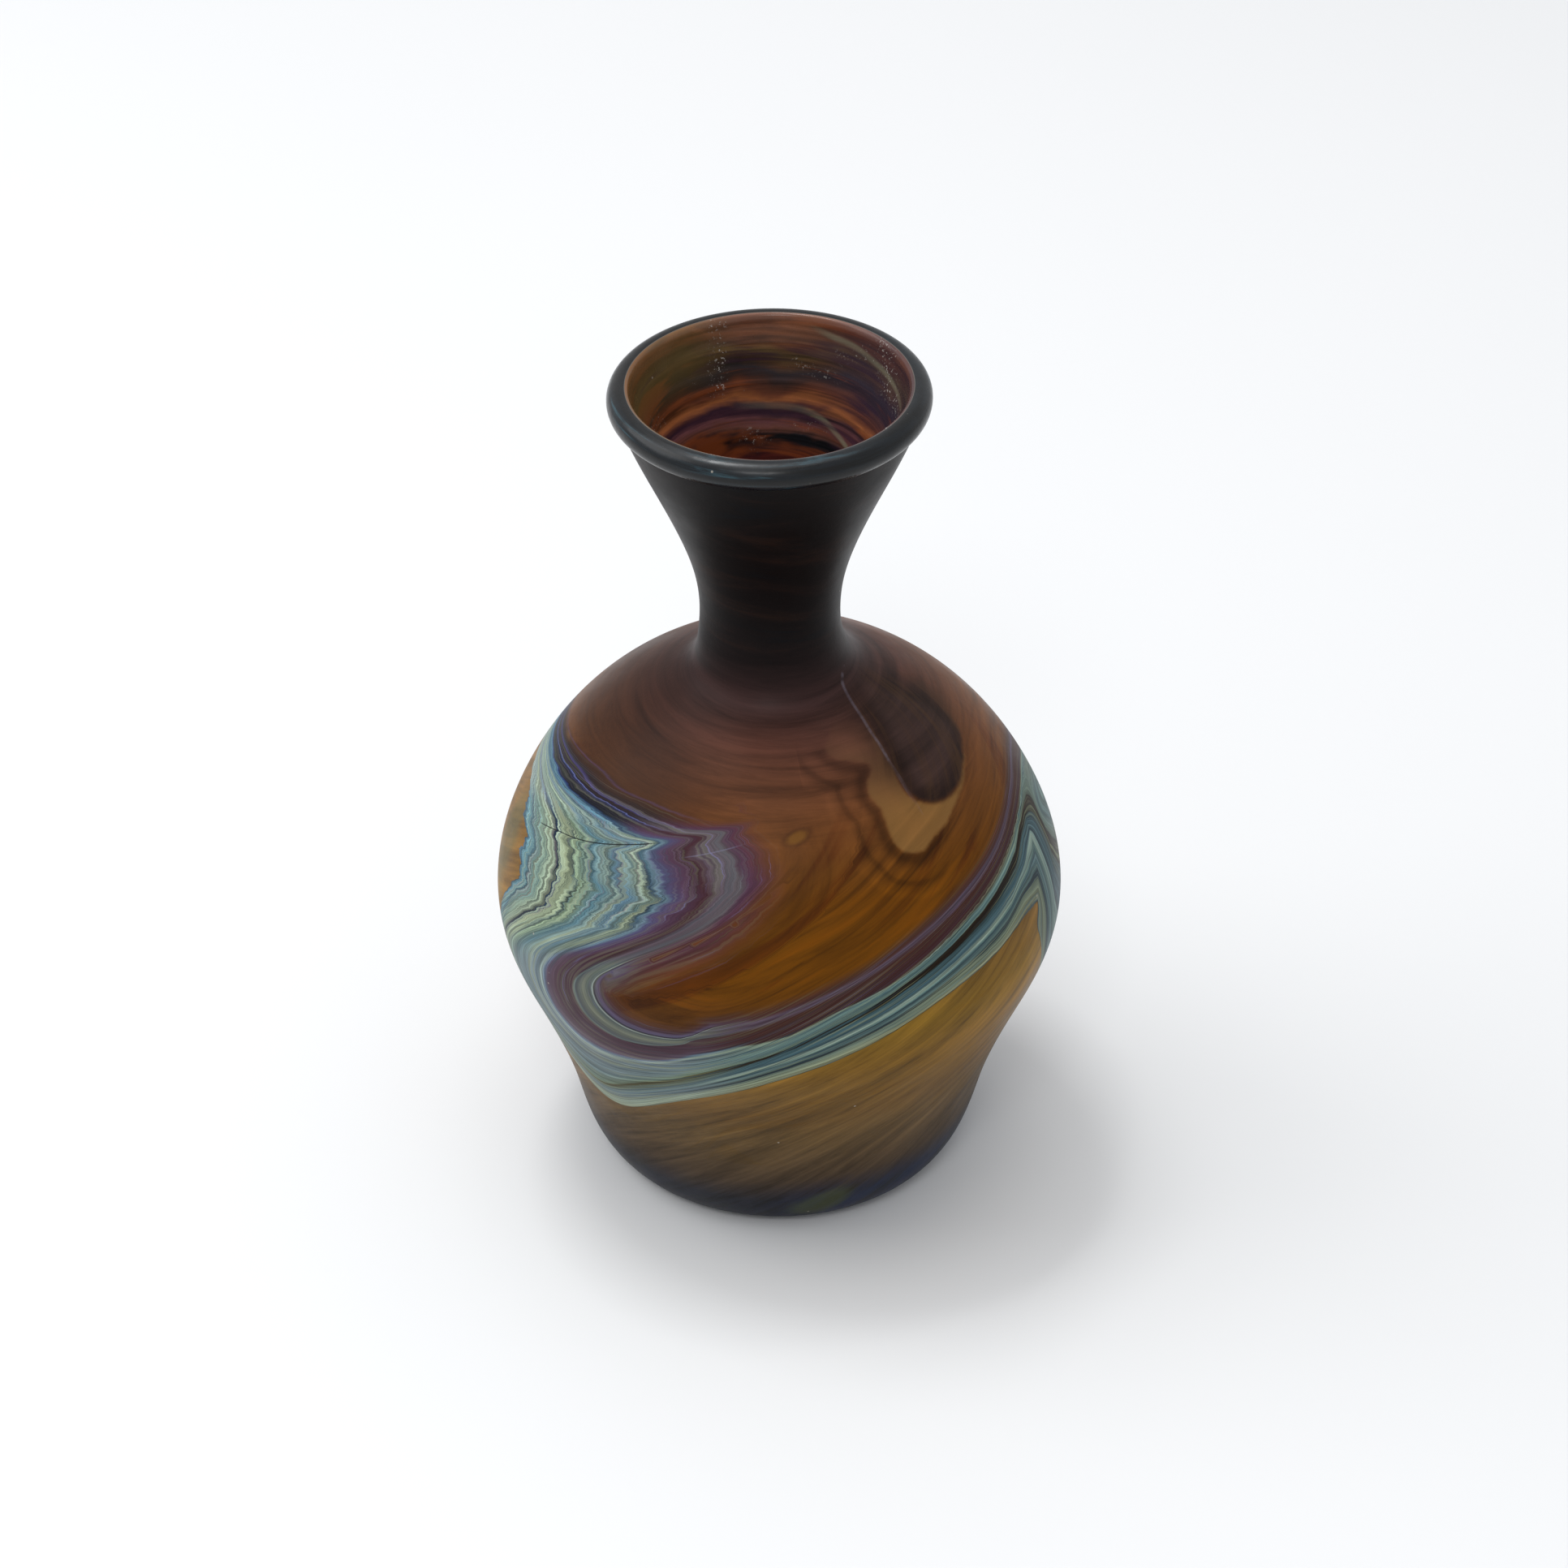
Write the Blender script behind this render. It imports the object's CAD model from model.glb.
"""Looks of the hand-blown bud vase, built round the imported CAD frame. Metres, +Z up, front towards -Y.

The vase's outside is one fine grid. The combed band is laid over it by ribs, and the grid is cut along
the band's own lines into the vessel and its trails. The glass's colours come from procedural materials,
which read where each point lies in the band. Shapes are worked out in millimetres, and turned into
metres when a mesh is made. In the materials, levels are centimetres above the table, and colours are
written as RRGGBB.
"""

import math
import random

import bpy
import numpy as np
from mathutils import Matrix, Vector
from mathutils.kdtree import KDTree


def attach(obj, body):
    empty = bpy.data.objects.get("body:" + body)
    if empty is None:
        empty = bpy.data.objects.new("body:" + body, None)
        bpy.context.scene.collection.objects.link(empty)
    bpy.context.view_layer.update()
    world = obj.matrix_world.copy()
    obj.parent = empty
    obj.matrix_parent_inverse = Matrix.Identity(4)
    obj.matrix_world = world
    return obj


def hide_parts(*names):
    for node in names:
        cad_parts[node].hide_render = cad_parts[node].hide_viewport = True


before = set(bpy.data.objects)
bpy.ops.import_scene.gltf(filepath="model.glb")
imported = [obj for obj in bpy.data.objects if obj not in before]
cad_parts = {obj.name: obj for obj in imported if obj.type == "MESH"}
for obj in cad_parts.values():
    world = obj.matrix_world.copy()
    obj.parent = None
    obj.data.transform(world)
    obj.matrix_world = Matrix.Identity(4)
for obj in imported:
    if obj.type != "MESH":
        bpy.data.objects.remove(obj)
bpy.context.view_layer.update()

MM = 0.001

# ---- Shape of the glass, in millimetres ----

# Spline poles of the outside, from the resting ring to the wall's top: radius and level.
OUTLINE = [
    (22.8, 0), (26.8, 0), (29.9, 2.5), (32.4, 8), (34, 16), (37, 25), (40.7, 34), (45.1, 44),
    (45.1, 54), (41.8, 64), (36, 74), (28.2, 82), (19.1, 87.5), (13.7, 90), (11.6, 93), (10.6, 99),
    (11.1, 107), (14.2, 116), (18.4, 125), (21.3, 131.5), (22.8, 135.6),
]
# Spline poles of the inside, from the axis to the wall's top.
INNER_LINE = [
    (0, 8), (10.3, 8), (19.4, 4.5), (27.2, 4.5), (29.9, 8.7), (31.5, 16.6), (34.6, 25.9), (38.3, 35),
    (42.5, 44.3), (42.5, 53.6), (39.4, 62.9), (34, 72.4), (26.6, 80), (17.9, 85.2), (12, 88.1),
    (9.1, 92.2), (8, 99), (8.6, 107.5), (11.8, 117.1), (16, 126.1), (18.9, 132.5), (20, 135.6),
]
FOOT_RADIUS = 22.8  # outer edge of the resting ring
KICK_RADIUS = 20.4  # inner edge of the resting ring, where the pushed-up base begins
KICK = 3.5  # rise of the pushed-up base
LIP_RADIUS = 24.4  # outside of the lip bead
LIP_BEAD = 2.25  # radius of the bead's section
HEIGHT = 140.0
WALL_TOP = 135.6  # level where the wall meets the bead
WALL_TOP_RADIUS = 22.8  # outside of the wall there
MOUTH_RADIUS = 20.0  # inside of the wall there
TRAIL_DEPTH = 0.6
SCAR_RADIUS = 6.5
NECK_LEAN = 1.3  # how far the neck stands to the left of the foot
MOUTH_TILT = 0.9  # degrees
MOUTH_SINK = 0.28  # how much lower the blown mouth ends up

COLUMNS = 300
OUTER_ROWS = 214
INNER_COLUMNS = 120
INNER_ROWS = 90

# Ribs across the band of trails: cream edge, gap, purple edge, amber edge. Each place is degrees from the
# front and millimetres above the table, and the ribs run once round the vase.
RIBS = [
    [(50, 55.5), (50, 64.9), (50, 66.8), (50, 70.6)],
    [(40, 53.8), (40, 62.5), (40, 64.6), (40, 68.6)],
    [(30, 51.5), (30, 59.5), (30, 62), (30, 66)],
    [(20, 49), (20, 56.4), (20, 58.8), (20, 62.9)],
    [(10, 46.3), (10, 52.8), (10, 55), (10, 59.5)],
    [(0, 43), (0, 48.3), (0, 50.8), (0, 55.5)],
    [(-10, 39), (-10, 43.5), (-10, 46.6), (-10, 51.7)],
    [(-20, 34.8), (-20, 38.5), (-20, 43.2), (-18, 49.8)],
    [(-30, 29.8), (-30, 34), (-29, 41.4), (-25, 48.9)],
    [(-40, 25), (-40, 29.7), (-37, 40.5), (-31, 49)],
    [(-50, 23.2), (-50, 27.4), (-45, 41), (-36, 50.3)],
    [(-61, 26), (-59, 30), (-51, 43.5), (-38.5, 52.4)],
    [(-71, 31.5), (-67, 35), (-54, 47.5), (-38.5, 54.8)],
    [(-80, 38), (-73, 40.5), (-53.5, 52), (-35.5, 57.4)],
    [(-85, 44.5), (-74.5, 45.8), (-49.5, 56), (-30.5, 60.3)],
    [(-80, 50.3), (-69.5, 51), (-44, 59.5), (-23.5, 63.6)],
    [(-73.5, 55.5), (-62.5, 56.3), (-37.5, 63), (-15.5, 67.2)],
    [(-70.5, 60), (-57, 61.5), (-31.5, 66.6), (-8, 71.2)],
    [(-72.5, 63.8), (-56.5, 66), (-28.8, 70.5), (-3.5, 75)],
    [(-78, 66.4), (-61, 69.8), (-31.5, 74.2), (-8, 78.3)],
    [(-85, 68.2), (-68, 71.6), (-43, 75.8), (-22, 79.8)],
    [(-94, 69.2), (-80, 72), (-61, 75.1), (-43, 80)],
    [(-106, 69.1), (-97, 71.4), (-84, 73.6), (-69, 78.6)],
    [(-120, 67.2), (-114, 69.7), (-106, 72), (-98, 76)],
    [(-136, 62.5), (-132, 65.7), (-129, 68.6), (-125, 73)],
    [(-153, 55), (-151, 59.5), (-150, 63), (-149, 68)],
    [(-171, 48), (-170, 54), (-170, 58), (-170, 64)],
    [(-189, 43.5), (-189, 51), (-189, 55.5), (-189, 62)],
    [(-207, 42), (-207, 51.5), (-207, 56), (-207, 62.5)],
    [(-225, 42.5), (-225, 55.5), (-225, 60), (-225, 65.8)],
    [(-243, 42), (-242, 61.5), (-242, 65), (-242, 70)],
    [(-260, 39.5), (-257, 66.5), (-257, 69.2), (-257, 73.6)],
    [(-275, 37), (-268, 69.3), (-268, 71.5), (-268, 75.3)],
    [(-287, 40.5), (-278, 69.8), (-278, 71.5), (-278, 75.1)],
    [(-293, 48.5), (-287, 69.2), (-287, 70.8), (-287, 74.2)],
    [(-299, 55.8), (-296, 67.8), (-296, 69.4), (-296, 73)],
]
TURN = len(RIBS)
CREASE_RIB = 19.35  # where the comb stopped and left a crease
FRONT_RIB = 9  # the band's angles are measured from this rib, so that they join up at the back

# The trails' edges across the band, counted in ribs' cells. The vessel's own glass shows between teal
# and blue.
TRAILS = {
    "cream_trail": (0.0, 0.28),
    "teal_trail": (0.28, 0.94),
    "blue_trail": (1.06, 2.0),
    "purple_trail": (2.0, 3.0),
}

# Lines between the band's colours, from its cream edge to its amber edge: at a rib, the place across.
# Each line runs smoothly.
GUIDES = [
    [  # the cream edge
        (0, 0.03), (2, 0.03), (3, -0.03), (4, -0.1), (5, -0.16), (6, -0.21), (7, -0.24), (8, -0.2),
        (9, -0.1), (9.7, -0.02), (12, 0.05), (14.4, 0.4), (15, 0.22), (15.5, 0.06), (16.2, -0.05),
        (17.4, 0.02), (17.65, -0.2), (18.2, -0.04), (18.7, 0.02), (19.25, -0.17), (20, 0.08), (20.4, 0.05),
        (21, -0.15), (24, 0), (34, 0), (35, 0.04),
    ],
    [  # cream to threads
        (0, 0.24), (4, 0.22), (6, 0.3), (8, 0.5), (10, 0.55), (13, 0.55), (14.4, 0.6), (16, 0.25),
        (20, 0.25), (26, 0.25), (35, 0.24),
    ],
    [  # threads to the clear line
        (0, 0.71), (1, 0.7), (2, 0.74), (3, 0.75), (4, 0.81), (5, 0.93), (5.5, 1.07), (6, 1.17), (6.5, 1.25),
        (7, 1.22), (8, 1.12), (9, 1.01), (9.5, 0.93), (11, 0.9), (13, 0.9), (15, 0.92), (15.9, 0.85),
        (16.6, 0.91), (18, 0.9), (18.3, 0.8), (19, 0.84), (20, 0.9), (20.5, 0.8), (21, 0.7), (24, 0.8),
        (28, 0.9), (34, 0.82), (35, 0.74),
    ],
    [  # the clear line to pale blue
        (0, 0.83), (1, 0.83), (2, 0.86), (3, 0.87), (4, 0.93), (5, 1.05), (5.5, 1.24), (6, 1.42), (6.4, 1.5),
        (7, 1.36), (8, 1.22), (9, 1.08), (9.6, 1), (11, 0.97), (13, 0.98), (15, 1.03), (15.9, 0.96),
        (16.6, 1.04), (18, 1.02), (18.3, 0.92), (19, 0.97), (20, 1.03), (20.5, 0.93), (21, 0.85), (24, 0.95),
        (28, 1), (34, 0.93), (35, 0.86),
    ],
    [  # pale blue to maroon
        (0, 0.94), (1, 0.98), (2, 1.06), (2.5, 1.12), (3, 1.27), (3.5, 1.55), (4, 1.83), (4.4, 1.84),
        (4.6, 1.8), (4.9, 2.03), (5.3, 2.13), (5.7, 2.32), (6.1, 2.4), (6.6, 2.38), (7.2, 2.22),
        (7.8, 2.07), (9, 1.98), (10, 1.95), (11, 1.97), (13, 2.02), (14, 2.08), (15, 2.12), (16, 2.14),
        (17, 2.06), (18, 1.95), (18.7, 1.85), (19.3, 1.92), (20, 2), (21, 2.05), (22, 2.2), (23, 2.2),
        (27, 1.8), (32, 1.3), (34, 1),
    ],
    [  # maroon to grey
        (0, 2.05), (1, 2.16), (2, 2.22), (3, 2.38), (4, 2.55), (5, 2.75), (6, 2.95), (6.5, 3), (7, 2.78),
        (8, 2.65), (9, 2.58), (10, 2.6), (12, 2.6), (13, 2.7), (14, 2.72), (16, 2.68), (17, 2.62), (18, 2.5),
        (19, 2.4), (19.4, 2.6), (20, 2.4), (21, 2.4), (22, 2.5), (26, 2.6), (32, 2.2), (34, 2.1),
    ],
    [  # grey to amber
        (0, 2.25), (1, 2.33), (2, 2.39), (3, 2.5), (4, 2.72), (5, 3), (6, 3.32), (6.3, 3.32), (6.6, 3.15),
        (7, 2.96), (7.5, 2.91), (8, 2.93), (9, 2.92), (10, 2.94), (11, 2.93), (12, 2.95), (13, 2.97),
        (14, 2.97), (15, 2.96), (16, 2.95), (17, 2.9), (18, 2.8), (18.8, 2.71), (19.4, 2.88), (19.8, 2.58),
        (20.5, 2.52), (21, 2.5), (21.5, 2.55), (22, 2.75), (26, 2.75), (32, 2.32), (34, 2.23),
    ],
]
EDGE_BELOW, EDGE_ABOVE = -1.0, 7.0  # the stripe numbers over which the band's colours are given


def clamped_spline(poles, count):
    """Points along a clamped uniform cubic spline, evenly spaced in its own measure."""
    poles = np.array(poles, float)
    spans = len(poles) - 3
    knots = np.concatenate([[0] * 3, np.arange(spans + 1), [spans] * 3]).astype(float)
    at = np.linspace(0, spans, count)
    low = np.clip(np.floor(at).astype(int), 0, spans - 1) + 3
    basis = [poles[low - 3 + i] for i in range(4)]
    for level in range(1, 4):
        for i in range(3, level - 1, -1):
            left = knots[low - 3 + i]
            right = knots[low + 1 + i - level]
            share = ((at - left) / (right - left))[:, None]
            basis[i] = (1 - share) * basis[i - 1] + share * basis[i]
    return basis[3]


def even_points(points, count, weight=None):
    """The same line with its points spread evenly along its length, or by a weight along it."""
    steps = np.linalg.norm(np.diff(points, axis=0), axis=1)
    if weight is not None:
        steps = steps * weight[:-1]
    length = np.concatenate([[0], np.cumsum(steps)])
    at = np.linspace(0, length[-1], count)
    return np.stack([np.interp(at, length, points[:, i]) for i in range(2)], axis=1)


def smooth(low, high, value):
    """0 below low, 1 above high, and a smooth rise between them."""
    share = np.clip((value - low) / (high - low), 0, 1)
    return share * share * (3 - 2 * share)


def periodic_spline(values):
    """A function that runs smoothly through evenly spaced values and joins up with its own start."""
    values = np.asarray(values, float)
    count = len(values)
    matrix = 4 * np.eye(count) + np.roll(np.eye(count), 1, 0) + np.roll(np.eye(count), -1, 0)
    bends = 6 * (np.roll(values, 1, 0) - 2 * values + np.roll(values, -1, 0))
    second = np.linalg.solve(matrix, bends.reshape(count, -1)).reshape(values.shape)

    def at(position):
        cell = np.floor(position).astype(int)
        share = (position - cell).reshape((-1,) + (1,) * (values.ndim - 1))
        a, b = cell % count, (cell + 1) % count
        rest = 1 - share
        line = values[a] * rest + values[b] * share
        return line + ((rest**3 - rest) * second[a] + (share**3 - share) * second[b]) / 6

    return at


# ---- The band's own coordinates ----

rib_values = np.array(RIBS, float)
rib_values[:, :, 0] += np.arange(TURN)[:, None] * 360 / TURN  # takes out the turn, so that it repeats
rib_lines = periodic_spline(rib_values)


def band_place(along, across):
    """Degrees from the front and level of places in the band."""
    lines = rib_lines(along)
    lines[:, :, 0] -= along[:, None] * 360 / TURN
    cell = np.clip(np.floor(across).astype(int), 0, 2)
    share = (across - cell)[:, None]
    rows = np.arange(len(along))
    return lines[rows, cell] * (1 - share) + lines[rows, cell + 1] * share


def guide_function(points):
    """A guide line as a function of the place along the band."""
    at, value = np.array(points, float).T
    at = np.concatenate([at - TURN, at, at + TURN])
    value = np.tile(value, 3)
    even = np.interp(np.arange(0, TURN, 0.1), at, value)
    for _ in range(10):
        even = (np.roll(even, 1) + 2 * even + np.roll(even, -1)) / 4
    fine = periodic_spline(even)
    return lambda along: fine(np.asarray(along, float) * 10)


guides = [guide_function(points) for points in GUIDES]
outline = clamped_spline(OUTLINE, 4000)


def radius_at(level):
    return np.interp(level, outline[:, 1], outline[:, 0])


def on_body(angle, level):
    """The place on the plain turned outside, in millimetres."""
    turn = np.radians(angle)
    radius = radius_at(level)
    return np.stack([radius * np.sin(turn), -radius * np.cos(turn), level], axis=-1)


def find_in_band(angle, level):
    """The place along and across the band of points given by angle and level."""
    along_grid, across_grid = np.meshgrid(np.arange(0, TURN, 0.05), np.linspace(0, 3, 61), indexing="ij")
    along_grid, across_grid = along_grid.ravel(), across_grid.ravel()
    samples = on_body(*band_place(along_grid, across_grid).T)
    tree = KDTree(len(samples))
    for i, point in enumerate(samples):
        tree.insert(point, i)
    tree.balance()
    found = [tree.find(point) for point in on_body(angle, level)]
    nearest = np.array([f[1] for f in found])
    distance = np.array([f[2] for f in found])
    along, start_across = along_grid[nearest], across_grid[nearest]

    # Newton's steps from the nearest sample to the place itself
    newton_along, newton_across = along.copy(), start_across.copy()
    step = 1e-4
    for _ in range(4):
        here = band_place(newton_along, newton_across)
        by_along = (band_place(newton_along + step, newton_across) - here) / step
        by_across = (band_place(newton_along, newton_across + step) - here) / step
        miss = np.stack([angle, level], axis=1) - here
        miss[:, 0] = (miss[:, 0] + 180) % 360 - 180
        size = by_along[:, 0] * by_across[:, 1] - by_along[:, 1] * by_across[:, 0]
        size = np.where(np.abs(size) < 1e-6, 1e-6, size)
        move_along = (miss[:, 0] * by_across[:, 1] - miss[:, 1] * by_across[:, 0]) / size
        move_across = (by_along[:, 0] * miss[:, 1] - by_along[:, 1] * miss[:, 0]) / size
        newton_along += np.clip(move_along, -0.3, 0.3)
        newton_across += np.clip(move_across, -0.3, 0.3)
    here = band_place(newton_along, newton_across)
    miss = np.abs((here[:, 0] - angle + 180) % 360 - 180) + np.abs(here[:, 1] - level)
    close = (miss < 0.02) & (np.abs(newton_across - start_across) < 0.4)
    close &= np.abs(newton_along - along) < 0.6

    # beyond the band's edges, the distance from the edge in widths of the cell beside it
    outside = np.where(start_across < 1.5, -1, 1)
    edge = np.where(outside < 0, 0.0, 3.0)
    edge_at = on_body(*band_place(along, edge).T)
    inner_at = on_body(*band_place(along, edge - 0.3 * outside).T)
    width = np.linalg.norm(edge_at - inner_at, axis=1) / 0.3
    far_across = edge + outside * distance / width
    on_edge = (start_across < 0.01) | (start_across > 2.99)
    across = np.where(close, newton_across, np.where(on_edge, far_across, start_across))
    along = np.where(close, newton_along, along)
    return along % TURN, across


# ---- Fine surfaces as arrays: a sheet is a table with a row for each vertex, and its triangles ----

def lean_and_wobble(places):
    """Moves turned places as the hand-blown piece leans: the neck stands off centre and the mouth tilts."""
    # levels: the shoulder ends at 84, the neck is narrowest near 98 and the mouth flares out above 110
    x, y, z = places.T
    rise = smooth(84, 98, z)
    turn = np.arctan2(y, x)
    radius = np.hypot(x, y)
    wobble = 0.16 * np.sin(2 * turn + 0.6 + z / 40) + 0.1 * np.sin(3 * turn + z / 23)
    wobble *= smooth(2, 12, z) * (1 - smooth(84, 92, z)) + 0.5 * smooth(110, 130, z)
    share = 1 + wobble / np.maximum(radius, 8)
    tilt = np.radians(MOUTH_TILT) * smooth(96, 120, z)
    lifted = z + tilt * (x * 0.85 + y * 0.45) - MOUTH_SINK * smooth(120, 138, z)
    return np.stack([x * share - NECK_LEAN * rise, y * share, lifted], axis=1)


def grid_faces(rows, columns, flip=False):
    """Quads of a grid that closes round the vase, as corner indices."""
    row, column = np.meshgrid(np.arange(rows - 1), np.arange(columns), indexing="ij")
    a = row * columns + column
    b = row * columns + (column + 1) % columns
    quads = np.stack([a, b, b + columns, a + columns], axis=-1).reshape(-1, 4)
    return quads[:, ::-1] if flip else quads


def turned_grid(line, columns):
    """Points of a line (radius, level) turned round the axis: x, y and z in millimetres."""
    angle = np.arange(columns) * 2 * np.pi / columns
    radius, level = line.T
    x = radius[:, None] * np.sin(angle)[None]
    y = -radius[:, None] * np.cos(angle)[None]
    z = np.broadcast_to(level[:, None], x.shape)
    return np.stack([x, y, z], axis=-1).reshape(-1, 3)


def line_normals(line):
    """Outward normals (radius, level) along a line that climbs the outside."""
    slope = np.gradient(line, axis=0)
    slope /= np.linalg.norm(slope, axis=1)[:, None]
    return np.stack([slope[:, 1], -slope[:, 0]], axis=1)


def triangles(quads):
    return np.concatenate([quads[:, [0, 1, 2]], quads[:, [0, 2, 3]]])


def without_slivers(table, faces):
    """Leaves out triangles with no area, such as those at the axis."""
    a, b, c = (table[faces[:, i], :3] for i in range(3))
    return faces[np.linalg.norm(np.cross(b - a, c - a), axis=1) > 1e-9]


def split_faces(table, faces, column, level):
    """Cuts triangles where a column of the vertex table crosses a level, with new vertices at the cuts."""
    value = table[:, column] - level
    value[np.abs(value) < 1e-5] = 1e-5
    side = value[faces] > 0
    count = side.sum(1)
    whole = faces[(count == 0) | (count == 3)]
    cut = faces[(count == 1) | (count == 2)]
    lone_side = (value[cut] > 0).sum(1) == 1
    is_lone = (value[cut] > 0) == lone_side[:, None]
    first = is_lone.argmax(1)
    rows = np.arange(len(cut))
    lone, b, c = (cut[rows, (first + i) % 3] for i in range(3))
    pairs = np.concatenate([np.stack([lone, b], 1), np.stack([lone, c], 1)])
    pairs.sort(axis=1)
    unique, index = np.unique(pairs, axis=0, return_inverse=True)
    index = index.ravel()
    low, high = value[unique[:, 0]], value[unique[:, 1]]
    share = (low / (low - high))[:, None]
    added = table[unique[:, 0]] * (1 - share) + table[unique[:, 1]] * share
    added[:, column] = level
    on_b = len(table) + index[: len(cut)]
    on_c = len(table) + index[len(cut):]
    pieces = [
        whole,
        np.stack([lone, on_b, on_c], 1),
        np.stack([on_b, b, c], 1),
        np.stack([on_b, c, on_c], 1),
    ]
    return np.concatenate([table, added]), np.concatenate(pieces)


def boundary(faces):
    """Directed edges that only one of these faces has."""
    edges = np.concatenate([faces[:, [0, 1]], faces[:, [1, 2]], faces[:, [2, 0]]])
    keys = set(map(tuple, edges))
    return np.array([e for e in keys if (e[1], e[0]) not in keys])


# Columns of a vertex table after its place and normal. The materials read them in threes.
ACROSS, AROUND_X, AROUND_Y = 6, 7, 8  # the place across the band, and the turn along it as a circle
SWIRL_X, SWIRL_Y, RISE = 9, 10, 11  # round the vase, twisting as it climbs, and centimetres above the table
OCHRE, GREEN, INSIDE = 12, 13, 14  # spots, and 1 on the inside of the vase
DRAPE, DARK, HAIR = 15, 16, 17  # millimetres inside two patches' outlines, and millimetres from a hair line
COLUMN_COUNT = 18
ATTRIBUTES = {"band": ACROSS, "swirl": SWIRL_X, "tint": OCHRE, "patch": DRAPE}
BELOW_BAND, ABOVE_BAND = -3, 6  # the places across that stand for plain glass
BAND_LOW, BAND_HIGH = 17, 87  # the levels that the band's coordinates reach
TWIST = 2.2  # degrees that the streaks turn in each millimetre they climb

SPOTS = {  # column: ellipses of degrees from the front, level, half width, half height and slope
    OCHRE: [(5.2, 78.8, 3.3, 0.7, 0.12), (-88, 76.6, 4, 0.8, 0.05)],
    GREEN: [(12, 6.5, 10, 3.4, 0.2), (-84, 60, 7, 9, 0)],
}
# Outlines in degrees from the front and level: a tan drape on the right shoulder, the dark patch beside it,
# and a pale hair line that runs from between them up to the neck.
DRAPE_EDGE = [
    (21, 86.8), (25, 85.7), (30, 85.2), (34.8, 84.4), (32, 83.3), (29.6, 81.9), (31.3, 80.2), (31, 78),
    (31.6, 76), (34, 74.5), (38, 74.2), (43, 74.9), (50, 76), (58, 77.4), (66, 78.8), (74, 80.2), (66, 79.2),
    (58, 78), (50, 78.1), (45.5, 79), (41.8, 80.6), (42.4, 83), (45, 85), (45, 87.5), (38, 88.6), (29, 88.4),
]
DARK_EDGE = [
    (41.6, 81.4), (43.5, 79.8), (47, 78.6), (52, 78), (58, 78), (65, 78.8), (74, 80.2), (83, 82.4), (84, 87),
    (78, 91), (68, 92), (58, 91), (50, 88.5), (45, 85.5), (42.4, 83.4),
]
HAIR_LINE = [(42.8, 78), (42.5, 81), (42.8, 84), (45, 87), (49, 89.2), (54, 91.3), (60, 92.3), (66, 92.6)]


def near_ellipse(angle, level, ellipse):
    """1 at an ellipse's middle, 0.5 on its edge and falling smoothly beyond it."""
    middle, height, half_width, half_height, slope = ellipse
    across = (angle - middle + 180) % 360 - 180
    rise = level - height - slope * across
    return 1 / (1 + (across / half_width) ** 2 + (rise / half_height) ** 2)


def depth_inside(points, angle, level, outline):
    """Millimetres from a closed outline on the glass: above 0 inside it and below 0 outside."""
    fine = periodic_spline(outline)(np.arange(0, len(outline), 0.06))
    apart = np.linalg.norm(points[:, None] - on_body(*fine.T)[None], axis=2).min(axis=1)
    x, y = fine.T
    next_x, next_y = np.roll(x, -1), np.roll(y, -1)
    spans = (y > level[:, None]) != (next_y > level[:, None])
    crossing = x + (level[:, None] - y) * (next_x - x) / np.where(next_y == y, 1e-9, next_y - y)
    inside = (spans & (angle[:, None] < crossing)).sum(axis=1) % 2 == 1
    return np.where(inside, apart, -apart)


def from_line(points, line):
    """Millimetres from an open line on the glass."""
    line = np.array(line, float)
    at = np.linspace(0, len(line) - 1, 300)
    fine = np.stack([np.interp(at, np.arange(len(line)), line[:, i]) for i in range(2)], axis=1)
    return np.linalg.norm(points[:, None] - on_body(*fine.T)[None], axis=2).min(axis=1)


def vertex_table(places, normals, inside):
    """One row for each vertex: place, normal and what the materials read."""
    table = np.zeros((len(places), COLUMN_COUNT))
    table[:, :3], table[:, 3:6] = places, normals
    x, y, level = places.T
    angle = np.degrees(np.arctan2(x, -y))
    table[:, ACROSS] = ABOVE_BAND
    table[:, [DRAPE, DARK, HAIR]] = -12, -12, 12
    if not inside and level.max() > BAND_LOW:
        in_reach = (level > BAND_LOW) & (level < BAND_HIGH) & (np.hypot(x, y) > 20)
        along, across = find_in_band(angle[in_reach], level[in_reach])
        turn = (along - FRONT_RIB) * 2 * np.pi / TURN
        table[in_reach, ACROSS] = np.clip(across, BELOW_BAND, ABOVE_BAND)
        table[in_reach, AROUND_X] = np.cos(turn)
        table[in_reach, AROUND_Y] = np.sin(turn)
        table[level <= BAND_LOW, ACROSS] = BELOW_BAND
        near = (level > 66) & (level < 97) & (angle > 8) & (angle < 95)
        points = on_body(angle[near], level[near])
        table[near, DRAPE] = depth_inside(points, angle[near], level[near], DRAPE_EDGE)
        table[near, DARK] = depth_inside(points, angle[near], level[near], DARK_EDGE)
        table[near, HAIR] = from_line(points, HAIR_LINE)
    swirl = np.radians(angle - TWIST * level)
    table[:, SWIRL_X], table[:, SWIRL_Y] = np.sin(swirl), -np.cos(swirl)
    table[:, RISE] = level / 10
    for column, ellipses in SPOTS.items():
        table[:, column] = np.max([near_ellipse(angle, level, e) for e in ellipses], axis=0)
    table[:, INSIDE] = inside
    return table


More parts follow.
